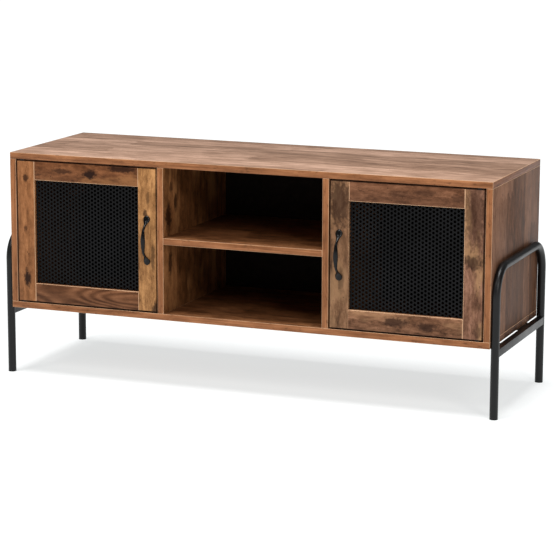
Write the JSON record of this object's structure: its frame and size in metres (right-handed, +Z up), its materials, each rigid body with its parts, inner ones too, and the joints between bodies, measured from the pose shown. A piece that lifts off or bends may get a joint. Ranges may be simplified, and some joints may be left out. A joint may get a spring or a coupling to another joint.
{
  "type": "tv stand with doors",
  "caption": "Low media cabinet with an open middle bay between framed mesh doors, carried between bent-tube leg frames.",
  "frame": {"origin": "on the floor, under the middle of the whole box: half way across the leg frames, and half way from the front of the handles to the back of the leg frames", "axes": "+X to the right as seen from the front, +Y to the back, +Z up; the doors are at -Y"},
  "size_m": [1.2294, 0.4258, 0.5359],
  "materials": {
    "carcass_board": "rustic wood-print laminate, satin, with plain edge banding",
    "door_board": "rustic wood-print laminate, satin",
    "back_board": "black-faced hardboard, matt",
    "black_metal": "black powder coat, satin",
    "mesh_metal": "black powder coat, matt",
    "handle_metal": "black enamel, semi-gloss",
    "zinc_steel": "zinc plate",
    "black_plastic": "moulded, matt",
    "nylon": "moulded, black",
    "dowel_wood": "plain beech",
    "magnet": "sintered, matt"
  },
  "bodies": {
    "cabinet": {"top_panel": "carcass_board", "bottom_panel": "carcass_board", "left_side_panel": "carcass_board", "right_side_panel": "carcass_board", "left_divider": "carcass_board", "right_divider": "carcass_board", "middle_shelf": "carcass_board", "back_panel": "back_board", "left_leg_tube": "black_metal", "right_leg_tube": "black_metal", "left_crossbar": "black_metal", "right_crossbar": "black_metal", "left_mounting_tabs": "black_metal", "right_mounting_tabs": "black_metal", "tab_screws": "zinc_steel", "side_bolts": "zinc_steel", "cam_locks": "zinc_steel", "cam_bolts": "zinc_steel", "catch_screws": "zinc_steel", "foot_plugs": "black_plastic", "carcass_dowels": "dowel_wood", "hinge_bushes": "nylon", "left_catch": "black_plastic", "right_catch": "black_plastic", "catch_magnets": "magnet"},
    "left_door": {"left_hinge_stile": "door_board", "left_lock_stile": "door_board", "left_top_rail": "door_board", "left_bottom_rail": "door_board", "left_mesh_sheet": "mesh_metal", "left_mesh_beads": "door_board", "left_bead_screws": "zinc_steel", "left_frame_dowels": "dowel_wood", "left_hinge_pins": "zinc_steel", "left_strike_plate": "zinc_steel", "left_strike_screw": "zinc_steel", "left_handle": "handle_metal", "left_handle_screws": "zinc_steel"},
    "right_door": {"right_hinge_stile": "door_board", "right_lock_stile": "door_board", "right_top_rail": "door_board", "right_bottom_rail": "door_board", "right_mesh_sheet": "mesh_metal", "right_mesh_beads": "door_board", "right_bead_screws": "zinc_steel", "right_frame_dowels": "dowel_wood", "right_hinge_pins": "zinc_steel", "right_strike_plate": "zinc_steel", "right_strike_screw": "zinc_steel", "right_handle": "handle_metal", "right_handle_screws": "zinc_steel"}
  },
  "joints": [
    {"name": "left_door_hinge", "type": "hinge", "parent": "cabinet", "child": "left_door", "pos_m": [-0.565, -0.1784, 0.34845], "axis": [0, 0, -1], "range_deg": [0, 110]},
    {"name": "right_door_hinge", "type": "hinge", "parent": "cabinet", "child": "right_door", "pos_m": [0.565, -0.1784, 0.34845], "axis": [0, 0, 1], "range_deg": [0, 110]}
  ]
}
